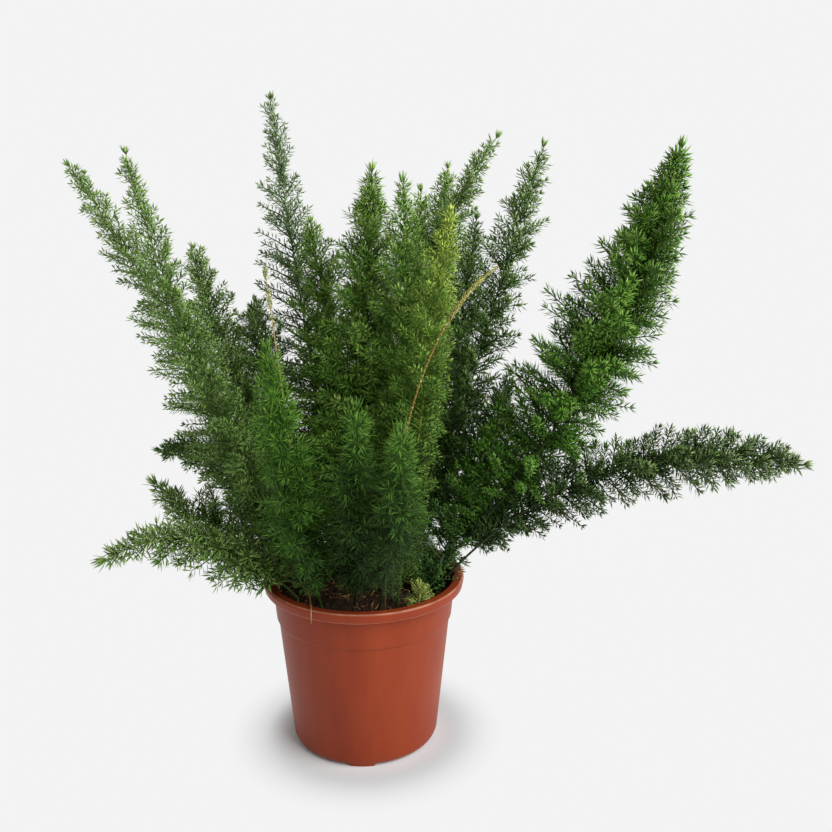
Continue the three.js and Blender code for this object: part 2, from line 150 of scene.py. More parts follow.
def foot_drop(radius, angle, height):
    """The underside drops by the height of a foot where the radius lies between the foot rings and the
    angle is within half a foot of one of the four quarter turns."""
    quarter = 2 * math.pi / FEET
    off = np.abs((angle + quarter / 2) % quarter - quarter / 2)
    inside = (radius > FOOT_RINGS[0]) & (radius < FOOT_RINGS[1]) & (height < FOOT_HEIGHT + 0.1)
    return -FOOT_HEIGHT * (inside & (off < FOOT_WIDTH / 2 / FOOT_RINGS[1]))


def drilled(solid, holes):
    """The solid with the holes' mesh cut out of it, as a plain mesh again."""
    cut = solid.modifiers.new("drain_holes", "BOOLEAN")
    cut.operation = "DIFFERENCE"
    cut.solver = "MANIFOLD"
    cut.object = holes
    bpy.context.view_layer.update()
    made = bpy.data.meshes.new_from_object(solid.evaluated_get(bpy.context.evaluated_depsgraph_get()))
    solid.modifiers.clear()
    solid.data = made
    bpy.data.objects.remove(holes)


pot_vertices, pot_faces = turned(rounded(POT_OUTSIDE + POT_INSIDE), POT_SEGMENTS, foot_drop)
pot = put("nursery_pot", pot_vertices * MM, pot_faces)
pin = np.array([(0, PIN_LOW), (DRAIN_RADIUS, PIN_LOW), (DRAIN_RADIUS, PIN_HIGH), (0, PIN_HIGH)], float)
pin_vertices, pin_faces = turned(pin, PIN_SEGMENTS)
turns = 2 * math.pi * (np.arange(DRAIN_HOLES) + 0.5) / DRAIN_HOLES
pin_places = np.stack([DRAIN_CIRCLE * np.cos(turns), DRAIN_CIRCLE * np.sin(turns), 0 * turns], axis=1)
all_pins = (pin_places[:, None] + pin_vertices).reshape(-1, 3)
pin_shifts = (np.arange(DRAIN_HOLES) * len(pin_vertices))[:, None, None]
all_pin_faces = [(pin_shifts + f).reshape(-1, f.shape[1]) for f in pin_faces]
drilled(pot, put("drain_pins", all_pins * MM, all_pin_faces))
pot.data.shade_smooth()
pot.data.set_sharp_from_angle(angle=SHARP_EDGE)


def finish_of(name):
    """A new material, its node tree and its Principled shader."""
    material = bpy.data.materials.new(name)
    material.use_nodes = True
    tree = material.node_tree
    return material, tree, tree.nodes["Principled BSDF"]


def feed(made, inputs):
    """Fills inputs of a node, given by name or number. Another node's output is linked to the input, and
    anything else is set as its constant."""
    for key, value in inputs.items():
        if isinstance(value, bpy.types.NodeSocket):
            made.id_data.links.new(value, made.inputs[key])
        else:
            made.inputs[key].default_value = value


def node(tree, kind, *first, **values):
    """A node of the given kind. Values without a name fill its first inputs. A name that matches a property
    sets it, and any other name is that of an input, with _ for a space."""
    made = tree.nodes.new(kind)
    inputs = dict(enumerate(first))
    for name, value in values.items():
        if hasattr(made, name):
            setattr(made, name, value)
        else:
            inputs[name.replace("_", " ")] = value
    feed(made, inputs)
    return made


def noise(tree, place, **values):
    """The strength of a noise pattern at a place."""
    return node(tree, "ShaderNodeTexNoise", Vector=place, **values).outputs["Fac"]


def mapped(tree, value, low, high, to_low=0.0, to_high=1.0, **values):
    """The value, carried over from the range low to high to the range to_low to to_high."""
    made = node(tree, "ShaderNodeMapRange", Value=value, From_Min=low, From_Max=high, To_Min=to_low,
                To_Max=to_high, **values)
    return made.outputs["Result"]


def worked_out(tree, operation, *values):
    """The result of one step of arithmetic on the values."""
    return node(tree, "ShaderNodeMath", *values, operation=operation).outputs[0]


def blended(tree, factor, first, second):
    """The colour that lies between two others by the factor."""
    return node(tree, "ShaderNodeMix", data_type="RGBA", Factor=factor, A=first, B=second).outputs["Result"]


def relief(tree, height, strength, distance):
    """The normal of a surface that the height makes uneven."""
    made = node(tree, "ShaderNodeBump", Strength=strength, Distance=distance, Height=height)
    return made.outputs["Normal"]


def colour(text):
    """A colour written as six hexadecimal digits, as linear red, green, blue and one."""
    parts = [int(text[i : i + 2], 16) / 255 for i in (0, 2, 4)]
    return tuple(p / 12.92 if p <= 0.04045 else ((p + 0.055) / 1.055) ** 2.4 for p in parts) + (1.0,)


def ramp(tree, factor, stops):
    """The colour at the factor on a ramp through (place, colour text) stops."""
    made = node(tree, "ShaderNodeValToRGB", factor)
    elements = made.color_ramp.elements
    while len(elements) < len(stops):
        elements.new(0.5)
    for element, (place, text) in zip(elements, stops):
        element.position = place
        element.color = colour(text)
    return made.outputs["Color"]


def new_group(name, inputs, outputs):
    """A node group with inputs and outputs named with their kinds, and the sockets of its inputs."""
    group = bpy.data.node_groups.new(name, "ShaderNodeTree")
    for way, sockets in (("INPUT", inputs), ("OUTPUT", outputs)):
        for label, kind in sockets.items():
            group.interface.new_socket(name=label, in_out=way, socket_type="NodeSocket" + kind)
    return group, node(group, "NodeGroupInput").outputs


LIP_TOP = 119.9
LIP_FOOT = 113.4
LIP_RADIUS = (0.0681, 0.0688)  # metres


def painted_lip_highlight_group():
    """A group that marks the two edges of the lip for a painted highlight, a pale line where light catches
    each
    edge: its factor rises from 0 to 1 as the height leaves the middle of the lip, but only outside the
    radius of the lip."""
    group, given = new_group("painted_lip_highlight", {"Place": "Vector"}, {"Factor": "Float"})
    height = node(group, "ShaderNodeSeparateXYZ", given["Place"]).outputs["Z"]
    off = worked_out(group, "SUBTRACT", height, 0.5 * (LIP_TOP + LIP_FOOT) * MM)
    half = 0.5 * (LIP_TOP - LIP_FOOT) * MM
    edge = mapped(group, worked_out(group, "ABSOLUTE", off), 0.76 * half, half)
    flat = node(group, "ShaderNodeVectorMath", given["Place"], (1, 1, 0), operation="MULTIPLY")
    radius = node(group, "ShaderNodeVectorMath", flat.outputs["Vector"], operation="LENGTH")
    outside = mapped(group, radius.outputs["Value"], *LIP_RADIUS)
    node(group, "NodeGroupOutput", Factor=worked_out(group, "MULTIPLY", edge, outside))
    return group


plastic, tree, shader = finish_of("terracotta_plastic")
place = node(tree, "ShaderNodeTexCoord").outputs["Object"]
stretched = node(tree, "ShaderNodeVectorMath", place, (1, 1, 0.2), operation="MULTIPLY").outputs["Vector"]
mottle = noise(tree, stretched, Scale=45.0, Detail=4.0, Roughness=0.55)
clay = ramp(tree, mottle, [(0.3, "823016"), (0.55, "8B3618"), (0.8, "943C1C")])
# One noise gives the pale scuffs, which are real wear, and also breaks up the painted highlight on the lip.
scuff_and_highlight_noise = noise(tree, place, Scale=95.0, Detail=5.0, Roughness=0.7)
scuffed = blended(tree, mapped(tree, scuff_and_highlight_noise, 0.67, 0.76, 0.0, 0.3), clay, colour("C08468"))
# Painted highlight: a pale colour laid along the lip's two edges, where light catches them.
lip_highlight_mask = node(tree, "ShaderNodeGroup", node_tree=painted_lip_highlight_group(), Place=place).outputs["Factor"]
broken = mapped(tree, scuff_and_highlight_noise, 0.3, 0.6, 0.15, 0.7)
scuffs_and_lip_highlight = blended(tree, worked_out(tree, "MULTIPLY", lip_highlight_mask, broken), scuffed, colour("D09A80"))
grain = noise(tree, place, Scale=900.0, Detail=3.0)
feed(shader, {
    "Base Color": scuffs_and_lip_highlight, "Normal": relief(tree, grain, 0.12, 0.0004), "Roughness": 0.45,
    "Specular IOR Level": 0.2,
})
pot.data.materials.clear()
pot.data.materials.append(plastic)
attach(pot, "root")
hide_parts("pot")

# ---- Potting soil ---------------------------------------------------------------------------------------
# Dark peat compost that fills the pot to a finger's breadth below the rim. It was poured in round the
# root ball, so its top is lumpy, with crumbs of peat and bark lying loose on it.
SOIL_SIDE = [(0, 4.7), (49.1, 4.7), (57.9, 90.4), (60.3, 107.5)]
SOIL_EDGE = 60.9
SOIL_BRIM = 108.2
SOIL_LEVEL = 109
SOIL_RINGS = 48
SOIL_SEGMENTS = 176
CRUMBS = 900
CRUMB_REACH = 59.5
LATTICE = 64
ground_dice = np.random.default_rng(11)
lattice = ground_dice.random((LATTICE, LATTICE))


def soil_height(x, y):
    """The soil's level at a point in millimetres: a low heap that falls off with the square of the distance
    from the middle, with lumps from a product of two waves and one slanting wave."""
    lumps = np.sin(x / 6.5 + 1) * np.cos(y / 7.5) + 0.6 * np.sin((x + y) / 4.2)
    return SOIL_LEVEL + 1.6 * (0.55 * lumps + 1 - (x * x + y * y) / 2200)


def bumps(x, y, size):
    """Smooth noise between 0 and 1: random numbers on a lattice of the given spacing, blended between the
    four nearest ones by a smooth step."""
    u, v = x / size + 900, y / size + 900
    i, j = np.floor(u).astype(int), np.floor(v).astype(int)
    f, g = u - i, v - j
    f, g = f * f * (3 - 2 * f), g * g * (3 - 2 * g)

    def corner(a, b):
        return lattice[(i + a) % LATTICE, (j + b) % LATTICE]

    low = corner(0, 0) * (1 - f) + corner(1, 0) * f
    high = corner(0, 1) * (1 - f) + corner(1, 1) * f
    return low * (1 - g) + high * g


def lumpy_level(x, y):
    """The soil's level with smooth noise of two sizes on it."""
    return soil_height(x, y) - 1.2 + 1.5 * bumps(x, y, 4.3) + 0.9 * bumps(x, y, 1.9)


def rough_soil(radius, angle, height):
    """The height to add to the soil's side profile to give its lumpy top: the lumpy level and a finer
    noise, fading to nothing at the edge."""
    x, y = radius * np.cos(angle), radius * np.sin(angle)
    top = lumpy_level(x, y) + 0.5 * bumps(x, y, 1)
    fade = np.clip((SOIL_EDGE - radius) / 1.5, 0, 1)
    return np.where(height >= SOIL_BRIM, (top - height) * fade, 0)


soil_top = np.stack([np.linspace(SOIL_EDGE, 0, SOIL_RINGS), np.full(SOIL_RINGS, SOIL_BRIM)], axis=1)
soil_profile = np.concatenate([np.array(SOIL_SIDE, float), soil_top])
soil_vertices, soil_faces = turned(soil_profile, SOIL_SEGMENTS, rough_soil)
soil_vertices[-1, 2] = soil_height(0, 0)

# An icosahedron, pulled out of shape, is the plain form of every crumb.
gold = (1 + math.sqrt(5)) / 2
crumb_form = np.array([
    (-1, gold, 0), (1, gold, 0), (-1, -gold, 0), (1, -gold, 0), (0, -1, gold), (0, 1, gold),
    (0, -1, -gold), (0, 1, -gold), (gold, 0, -1), (gold, 0, 1), (-gold, 0, -1), (-gold, 0, 1),
]) / 1.9
crumb_faces = np.array([
    (0, 11, 5), (0, 5, 1), (0, 1, 7), (0, 7, 10), (0, 10, 11), (1, 5, 9), (5, 11, 4), (11, 10, 2),
    (10, 7, 6), (7, 1, 8), (3, 9, 4), (3, 4, 2), (3, 2, 6), (3, 6, 8), (3, 8, 9), (4, 9, 5),
    (2, 4, 11), (6, 2, 10), (8, 6, 7), (9, 8, 1),
])


def crumbs(count, dice, least, most):
    """Lumps strewn evenly over the soil: each is the crumb form, roughened corner by corner, stretched by
    three random factors, turned about Z, and set with its middle 0.2 above the lumpy level."""
    radius = CRUMB_REACH * np.sqrt(dice.random(count))
    angle = 2 * math.pi * dice.random(count)
    x, y = radius * np.cos(angle), radius * np.sin(angle)
    size = least + (most - least) * dice.random(count) ** 3
    form = crumb_form * (0.75 + 0.5 * dice.random((count, len(crumb_form), 1)))
    form = form * (size[:, None] * (0.6 + 0.8 * dice.random((count, 3))))[:, None]
    turn = 2 * math.pi * dice.random(count)[:, None]
    across = form[:, :, 0] * np.cos(turn) - form[:, :, 1] * np.sin(turn)
    along = form[:, :, 0] * np.sin(turn) + form[:, :, 1] * np.cos(turn)
    level = lumpy_level(x, y) + 0.2
    placed = np.stack([across + x[:, None], along + y[:, None], form[:, :, 2] + level[:, None]], axis=2)
    faces = (len(crumb_form) * np.arange(count)[:, None, None] + crumb_faces).reshape(-1, 3)
    return placed.reshape(-1, 3), faces


crumb_vertices, loose_faces = crumbs(CRUMBS, ground_dice, 0.35, 2.0)
soil_all = np.concatenate([soil_vertices, crumb_vertices])
soil = put("potting_compost", soil_all * MM, [*soil_faces, loose_faces + len(soil_vertices)])
crumb_tone = np.repeat(ground_dice.random(CRUMBS) ** 7, len(crumb_form))
soil_tone = np.concatenate([np.zeros(len(soil_vertices)), crumb_tone])
tone = soil.data.attributes.new("crumb_tone", "FLOAT", "POINT")
tone.data.foreach_set("value", soil_tone.astype(np.float32))

peat, tree, shader = finish_of("peat_compost")
place = node(tree, "ShaderNodeTexCoord").outputs["Object"]
patches = noise(tree, place, Scale=420.0, Detail=6.0, Roughness=0.7)
dark = ramp(tree, patches, [(0.3, "19130C"), (0.55, "38291B"), (0.78, "5C4630")])
bark_share = node(tree, "ShaderNodeAttribute", attribute_name="crumb_tone").outputs["Fac"]
bark = blended(tree, bark_share, dark, colour("8A5E38"))
feed(shader, {
    "Base Color": bark, "Normal": relief(tree, patches, 0.7, 0.0006), "Roughness": 0.95,
    "Specular IOR Level": 0.2,
})
soil.data.materials.append(peat)
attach(soil, "root")
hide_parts("potting_soil")

# ---- Dry fibres and straw -------------------------------------------------------------------------------
# Pale dead roots and stalks, thinner than a match, that lie on the compost. One straw hangs over the
# front of the rim, and a withered wisp lies over its right side. They are only held by the crumbs.
FIBRES = 150
FIBRE_REACH = 57
FIBRE_LIMIT = 58.5
UPWARDS = np.array([[0, 0, 1]])
fibre_dice = np.random.default_rng(5)


def unit(v):
    """The vectors, each divided by its own length."""
    return v / np.maximum(np.linalg.norm(v, axis=-1, keepdims=True), 1e-12)


def rods(paths, radii, corners, ref):
    """Closed rods along n paths of m points: round each point stands a ring of corners at the radius there,
    square to the path, started from the side that is nearest to ref. Flat caps close both ends."""
    n, m = paths.shape[:2]
    axis = unit(np.gradient(paths, axis=1))
    side = unit(ref[:, None] - axis * np.sum(ref[:, None] * axis, axis=2, keepdims=True))
    across = np.cross(axis, side)
    turn = 2 * math.pi * np.arange(corners) / corners
    outward = side[:, :, None] * np.cos(turn)[:, None] + across[:, :, None] * np.sin(turn)[:, None]
    vertices = paths[:, :, None] + outward * radii[:, :, None, None]
    start = (np.arange(n) * m * corners)[:, None, None]
    ring, k = np.meshgrid(np.arange(m - 1), np.arange(corners), indexing="ij")
    a, b = ring * corners + k, ring * corners + (k + 1) % corners
    sides = np.stack([a, b, b + corners, a, b + corners, a + corners], axis=2).reshape(-1, 3)
    fan = np.arange(1, corners - 1)
    low = np.stack([0 * fan, fan + 1, fan], axis=1)
    high = np.stack([0 * fan, fan, fan + 1], axis=1) + (m - 1) * corners
    faces = np.concatenate([sides, low, high])[None] + start
    return vertices.reshape(-1, 3), faces.reshape(-1, 3)


fibre_radius = FIBRE_REACH * np.sqrt(fibre_dice.random(FIBRES))
fibre_angle = 2 * math.pi * fibre_dice.random(FIBRES)
fibre_way = 2 * math.pi * fibre_dice.random(FIBRES)
fibre_length = 4 + 14 * fibre_dice.random(FIBRES) ** 2
step = np.linspace(-0.5, 0.5, 7)[None]
arch = fibre_dice.normal(0, 0.35, (FIBRES, 1)) * (step**2 - 0.08) * fibre_length[:, None]
fx = (fibre_radius * np.cos(fibre_angle))[:, None] + step * (fibre_length * np.cos(fibre_way))[:, None]
fy = (fibre_radius * np.sin(fibre_angle))[:, None] + step * (fibre_length * np.sin(fibre_way))[:, None]
fx, fy = fx - arch * np.sin(fibre_way)[:, None], fy + arch * np.cos(fibre_way)[:, None]
inwards = np.minimum(1, FIBRE_LIMIT / np.hypot(fx, fy))
fx, fy = fx * inwards, fy * inwards
fz = lumpy_level(fx, fy) + 0.5 + 0.8 * fibre_dice.random((FIBRES, 1))
fz = fz + 1.2 * fibre_dice.random((FIBRES, 1)) * (0.5 + step)
fibre_paths = np.stack([fx, fy, fz], axis=2)
fibre_radii = (0.16 + 0.22 * fibre_dice.random((FIBRES, 1))) * (1 - 0.8 * np.abs(2 * step) ** 3)
fibre_vertices, fibre_faces = rods(fibre_paths, fibre_radii, 4, UPWARDS)

STRAW = np.array([
    (-32.5, -41, 112.6), (-31.4, -49, 116.2), (-30.9, -55, 120.2), (-30.4, -60, 121.3),
    (-30.1, -63.6, 120.8), (-29.9, -65.6, 118.6), (-29.8, -66.2, 115.5), (-29.9, -66.4, 112.6),
])
STRAW_RADII = np.array([0.3, 0.4, 0.42, 0.42, 0.4, 0.38, 0.34, 0.2])
straw_vertices, straw_faces = rods(STRAW[None], STRAW_RADII[None], 5, np.array([[1, 0, 0]]))

# The wisp: short stalks crossing each other in a small heap.
WISP_STALKS = 16
WISP_PLACE = (67.6, -4.0, 121.3)
WISP_RADII = np.array([0.12, 0.25, 0.3, 0.25, 0.12])
wisp_way = 2 * math.pi * fibre_dice.random((WISP_STALKS, 1))
wisp_spot = np.array(WISP_PLACE) + fibre_dice.normal(0, 1, (WISP_STALKS, 3)) * (1.2, 3.2, 0)
step = np.linspace(-0.5, 0.5, len(WISP_RADII))[None]
wisp_length = 3 + 3.5 * fibre_dice.random((WISP_STALKS, 1))
wisp_paths = np.stack([
    wisp_spot[:, :1] + step * wisp_length * np.cos(wisp_way),
    wisp_spot[:, 1:2] + step * wisp_length * np.sin(wisp_way) + 2 * step**2,
    wisp_spot[:, 2:] + 1.8 * fibre_dice.random((WISP_STALKS, 1)) + 2.5 * step**2,
], axis=2)
wisp_vertices, wisp_faces = rods(wisp_paths, WISP_RADII[None], 4, UPWARDS)

straw_faces = straw_faces + len(fibre_vertices)
wisp_faces = wisp_faces + len(fibre_vertices) + len(straw_vertices)
all_fibres = np.concatenate([fibre_vertices, straw_vertices, wisp_vertices])
fibres = put("dry_fibres", all_fibres * MM, [np.concatenate([fibre_faces, straw_faces, wisp_faces])])
straw_brown, tree, shader = finish_of("dry_straw")
place = node(tree, "ShaderNodeTexCoord").outputs["Object"]
weathering = noise(tree, place, Scale=240.0, Detail=4.0)
dry = ramp(tree, weathering, [(0.3, "6E4A2A"), (0.55, "A27A48"), (0.8, "CDB185")])
feed(shader, {"Base Color": dry, "Roughness": 0.8})
fibres.data.materials.append(straw_brown)
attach(fibres, "root")

# ---- Foliage finishes -----------------------------------------------------------------------------------
# The needles are flattened green shoots, firm and slightly waxy. Where they are young they are yellow
# green, and on the old plumes they have a grey bloom. Their deeper greens are partly painted shade: each
# plume is painted deeper at its foot, and the shaded finish is a darker copy for plumes deep in the bush.
NEEDLE_FINISHES = {  # deepest, middle and palest green, then the stem's colour low down and high up
    "fresh": ("33541A", "669E30", "B0CA68", "3A5A22", "5E8A34"),
    "bottlebrush": ("264A10", "528A22", "9ABA5C", "1E2A10", "4A6A26"),
    "blue_grey": ("526A3A", "7E9A60", "B2C498", "3A5233", "54744A"),
    "airy": ("466C24", "769E42", "B6CE8C", "54622F", "6F8A4A"),
    "stiff": ("446820", "78A044", "B8CA8C", "4A602F", "6A8A44"),
    "lime": ("284216", "629634", "C8DC62", "2E4A16", "8FA83A"),
    "bright": ("1A340A", "3C6A14", "74A038", "2C4418", "5F9A34"),
    # Painted shade: the shaded finish is a darker copy of the plume greens, for the plumes that stand deep
    # in the bush behind others.
    "shaded": ("2C5020", "548230", "94B066", "33492A", "4A6A38"),
    "dusky": ("243F16", "4A6C2C", "9CB274", "1C2410", "40582A"),
    "feathery": ("3C5E24", "6C9240", "A8BE7E", "33492A", "4A6A38"),
    "front": ("162607", "2E520E", "6A9A36", "1E2A12", "45702C"),
    "budding": ("77703A", "97944A", "C0BC74", "4A4A1E", "9A7230"),
    "pale_bud": ("7C8A45", "9EA85E", "C4CA8A", "B08848", "B8A060"),
    "seedling": ("6E8A30", "9CB446", "D0DE7C", "A8A868", "B4C070"),
}
FOLIAGE_COLOURS = ("Deep", "Middle", "Pale", "Old Stem", "Young Stem")


def foliage_colour_group():
    """A group that turns a place in the foliage chart into a colour. Across the chart runs the tint, from
    deep to pale. Up the chart a needle runs from its root at 0 to its tip at 0.7, and stems lie above 0.75,
    from the ground at the left to the tip at the right."""
    inputs = {**dict.fromkeys(FOLIAGE_COLOURS, "Color"), "Chart": "Vector"}
    group, given = new_group("foliage_colour", inputs, {"Colour": "Color", "Roughness": "Float"})
    deep, middle, pale, old_stem, young_stem = (given[name] for name in FOLIAGE_COLOURS)
    parts = node(group, "ShaderNodeSeparateXYZ", given["Chart"])
    tint, up_chart = parts.outputs["X"], parts.outputs["Y"]
    lower = blended(group, mapped(group, tint, 0.0, 0.5), deep, middle)
    needle = blended(group, mapped(group, tint, 0.5, 1.0), lower, pale)
    tipped = blended(group, mapped(group, up_chart, 0.42, 0.7, 0.0, 0.35), needle, pale)
    rooted = blended(group, mapped(group, up_chart, 0.0, 0.2, 0.3, 0.0), tipped, young_stem)
    stem = blended(group, tint, old_stem, young_stem)
    coloured = blended(group, mapped(group, up_chart, 0.73, 0.74), rooted, stem)
    node(group, "NodeGroupOutput", Colour=coloured, Roughness=mapped(group, tint, 0.0, 1.0, 0.6, 0.42))
    return group


foliage_colour = foliage_colour_group()
finishes = {}
for name, colours in NEEDLE_FINISHES.items():
    finishes[name], tree, shader = finish_of("needles_" + name)
    chart = node(tree, "ShaderNodeUVMap", uv_map="OFBake").outputs["UV"]
    tinted = node(tree, "ShaderNodeGroup", node_tree=foliage_colour, Chart=chart)
    feed(tinted, dict(zip(FOLIAGE_COLOURS, map(colour, colours))))
    feed(shader, {
        "Base Color": tinted.outputs["Colour"], "Roughness": tinted.outputs["Roughness"],
        "Specular IOR Level": 0.25,
    })

# ---- Plumes ---------------------------------------------------------------------------------------------
# Each plume is one long stem from the soil, set all round with short side branchlets, and these carry
# whorls of needles. Old plumes lean out and bend over, young ones stand upright in the middle.
PLUMES = {  # root, middle and tip; reach; taper; bare share; needle; fullness; rise; foot; finish
    "far_left": (
        (-38, 6), (-126.5, 15, 288), (-201, 40, 400), 29, 0.85, 0.06, 6, 0.75, -0.1, 1, "airy"),
    "upper_left": (
        (-40, -14), (-109, -22, 289), (-142, -20, 406), 27, 1.4, 0.08, 6.5, 0.6, -0.2, 1, "airy"),
    "short_left": (
        (-34, 26), (-93, 50, 240), (-125, 70, 345), 32, 2.4, 0.04, 6, 1.45, 0, 1, "airy"),
    "tallest": (
        (-14, 34), (-45, 62, 291), (-69, 90, 450), 28, 1.6, 0.1, 6.5, 0.6, -0.4, 1, "blue_grey"),
    "behind_tallest": (
        (-8, 18), (-21, 35, 251), (-38, 50, 364), 38, 2, 0.05, 7, 1.2, 0, 1, "fresh"),
    "centre_left": (
        (-6, 0), (2, 5, 266), (8, 10, 398), 35, 2, 0.04, 8.5, 1.8, 0, 1, "fresh"),
    "centre_right": (
        (14, -12), (27, -17, 266), (28, -12, 391), 29, 2.3, 0.1, 8, 0.9, 0, 1, "fresh"),
    "centre_back": (
        (16, 22), (34, 45, 256), (40, 70, 386), 27, 2.2, 0.05, 7.5, 1, 0, 1, "fresh"),
    "high_back": (
        (22, 42), (43, 80, 250), (61, 120, 404), 31, 3.5, 0.06, 7.5, 1.2, 0, 1, "fresh"),
    "upper_right": (
        (30, 8), (43, 45, 300), (96, 70, 421), 27, 1.1, 0.06, 7, 1, -0.1, 1, "airy"),
    "right_feathery": (
        (38, 26), (89, 75, 281), (133, 110, 419), 29, 2.1, 0.14, 8, 0.6, 0.25, 1, "feathery"),
    "great_right": (
        (40, 0), (140, -10, 245), (200, -20, 411), 40.5, 2.2, 0.13, 9.2, 2.6, 0.18, 0.3, "bottlebrush"),
    "low_right": (
        (50, -10), (156, -19, 195), (289, -40, 209), 26, 5, 0.16, 7.6, 1.5, 0, 0.35, "dusky"),
    "low_left": (
        (-44, -24), (-103, -45, 160), (-165, -60, 150), 23, 1.2, 0.12, 10, 0.8, -0.12, 1, "stiff"),
    "left_stub": (
        (-50, 0), (-105, 2, 149), (-147, 0, 189), 25, 1.3, 0.12, 9, 1, 0.3, 1, "stiff"),
    "left_shaded": (
        (-40, 32), (-97, 56, 180), (-162, 70, 189), 35, 0.9, 0.08, 7, 1.7, 0.15, 1, "shaded"),
    "bright_centre": (
        (24, -32), (42, -45, 260), (58, -30, 371), 23, 1.9, 0.05, 6, 0.9, 0.25, 0.45, "lime"),
    "bright_front": (
        (-26, -40), (-41, -76, 221), (-50, -80, 297), 27, 1.4, 0.12, 10, 1.1, 0, 0.8, "bright"),
    "front_right": (
        (12, -44), (25, -96, 196), (28, -120, 258), 25, 1.1, 0.17, 11, 1.2, 0, 0.5, "front"),
    "front_left": (
        (-4, -32), (1, -86, 202), (3, -110, 267), 27, 1.1, 0.13, 11, 1.2, 0, 0.6, "front"),
    "right_shaded": (
        (42, -22), (77, 22, 178), (106, 50, 256), 27, 2.4, 0.02, 7.5, 1.8, 0.15, 0.45, "shaded"),
    "back_centre": (
        (2, 46), (9, 98, 220), (12, 150, 322), 29, 1.4, 0.04, 8, 0.45, 0.1, 1, "fresh"),
    "back_left": (
        (-14, 50), (-24, 96, 192), (-32, 142, 274), 27, 1.4, 0.04, 8, 0.45, 0.1, 1, "fresh"),
    "back_right": (
        (26, 46), (60, 98, 225), (85, 140, 366), 30, 2.4, 0.06, 8, 1.1, 0.1, 1, "shaded"),
    "behind_left": (
        (-28, 42), (-67, 60, 208), (-84, 80, 306), 36, 2, 0.12, 7, 1.35, 0, 1, "airy"),
}
HABITS = {
    # by finish: the branchlets' lean, their unevenness, the gap between two whorls; the needles' width, if
    #     # they are curved, their spread in degrees; the tint at the foot, which is partly painted shade,
    #     and at
    #     # the tip, and the power of the way up by which it goes from one to the other
    "airy": (0.45, 0.36, 2.4, 1.25, False, 66, 0.02, 0.64, 0.6),
    "blue_grey": (0.45, 0.4, 3.0, 1.35, False, 66, 0.32, 0.6, 1),
    "bottlebrush": (0.25, 0.16, 2.5, 1.2, False, 68, 0.35, 0.63, 1),
    "dusky": (0.3, 0.3, 2.1, 1.3, False, 66, 0.22, 0.66, 1),
    "fresh": (0.4, 0.3, 2.4, 1.15, False, 70, 0.4, 0.66, 1),
    "stiff": (0.45, 0.36, 2.8, 1.45, False, 70, 0.3, 0.6, 1),
    "lime": (0.45, 0.3, 1.8, 0.95, False, 66, 0.04, 1.0, 1.9),
    "bright": (0.3, 0.3, 1.8, 0.72, True, 68, 0.15, 0.8, 1),
    "front": (0.25, 0.36, 1.8, 0.62, True, 70, 0.1, 0.8, 2),
    "shaded": (0.4, 0.45, 2.6, 1.25, False, 64, 0.25, 0.6, 1),
    "feathery": (0.4, 0.45, 2.6, 1.4, False, 68, 0.28, 0.66, 1),
}
STEM_RADIUS = 1.0
STEM_TIP_RADIUS = 0.35
STEM_DEPTH = 11.7
STEM_RISE = 3
STEM_RINGS = 44
STEM_CORNERS = 6
STEM_NEEDLES_FROM = 0.55
STEM_NEEDLE_GAP = 2.6
STAR_WHORLS = 3
STAR_SPREAD = 38
CURVE_POINTS = 400
LINE_POINTS = 160
BRANCHLET_PITCH = 1.25
NEEDLED_SHARE = 0.92
GOLDEN_ANGLE = math.pi * (3 - math.sqrt(5))
WALL_INSIDE = 59
WALL_OUTSIDE = 73
OVER_SOIL = 1.5
OVER_RIM = 121.5
OVER_GROUND = 8


def sampled(rows, where, at=None):
    """The rows of a line, blended at the given places. at holds each row's own place, or else its number
    counts."""
    at = np.arange(len(rows)) if at is None else at
    return np.stack([np.interp(where, at, rows[:, i]) for i in range(3)], axis=1)


def route(root, middle, tip, short):
    """A stem's line: straight up out of the soil, then a quadratic curve that passes through the middle
    point half way, in points spaced evenly along it. The stem ends short of the tip, which is the tip of
    its last needles. With it come its points in the soil, its length, and a direction square to its
    bend."""
    x, y = root
    ground = soil_height(x, y)
    start = np.array([x, y, ground + STEM_RISE])
    middle, tip = np.array(middle, float), np.array(tip, float)
    pull = 2 * middle - (start + tip) / 2
    t = np.linspace(0, 1, CURVE_POINTS)[:, None]
    fine = (1 - t) ** 2 * start + 2 * t * (1 - t) * pull + t**2 * tip
    run = np.concatenate([[0], np.cumsum(np.linalg.norm(np.diff(fine, axis=0), axis=1))])
    line = sampled(fine, np.linspace(0, run[-1] - short, LINE_POINTS), run)
    buried = np.stack([[x, y, ground - STEM_DEPTH], [x, y, ground - 2]])
    plane = unit(np.cross(tip - start, pull - start) + np.array([0, 1e-3, 0]))
    return line, buried, run[-1] - short, plane


def bent(base, way, curl, s):
    """The place at s on a branchlet: its base, plus s times its way, plus s squared times its curl."""
    return base + way * s[..., None] + curl * (s**2)[..., None]


def swell(share, taper):
    """How far the foliage stands out at a share of the leafy stretch: it grows from 0.6 to 1 in the first
    quarter, then falls to 0.4 at the tip by a power, the taper."""
    return 0.6 + 0.4 * np.minimum(1, share / 0.25) - 0.6 * np.maximum(0, (share - 0.25) / 0.75) ** taper


def clear_of_pot(p):
    """True for the points that touch neither the pot nor the soil: inside the wall they are above the soil,
    over the wall above the rim, and outside it above the ground."""
    radius = np.hypot(p[..., 0], p[..., 1])
    over_soil = soil_height(p[..., 0], p[..., 1]) + OVER_SOIL
    low = np.where(radius < WALL_INSIDE, over_soil, np.where(radius > WALL_OUTSIDE, OVER_GROUND, OVER_RIM))
    return p[..., 2] > low


def frames(axis):
    """Two directions square to each axis and to each other."""
    steep = np.abs(axis[:, 2:3]) > 0.9
    side = unit(np.cross(np.where(steep, [1, 0, 0], [0, 0, 1]), axis))
    return side, np.cross(axis, side)


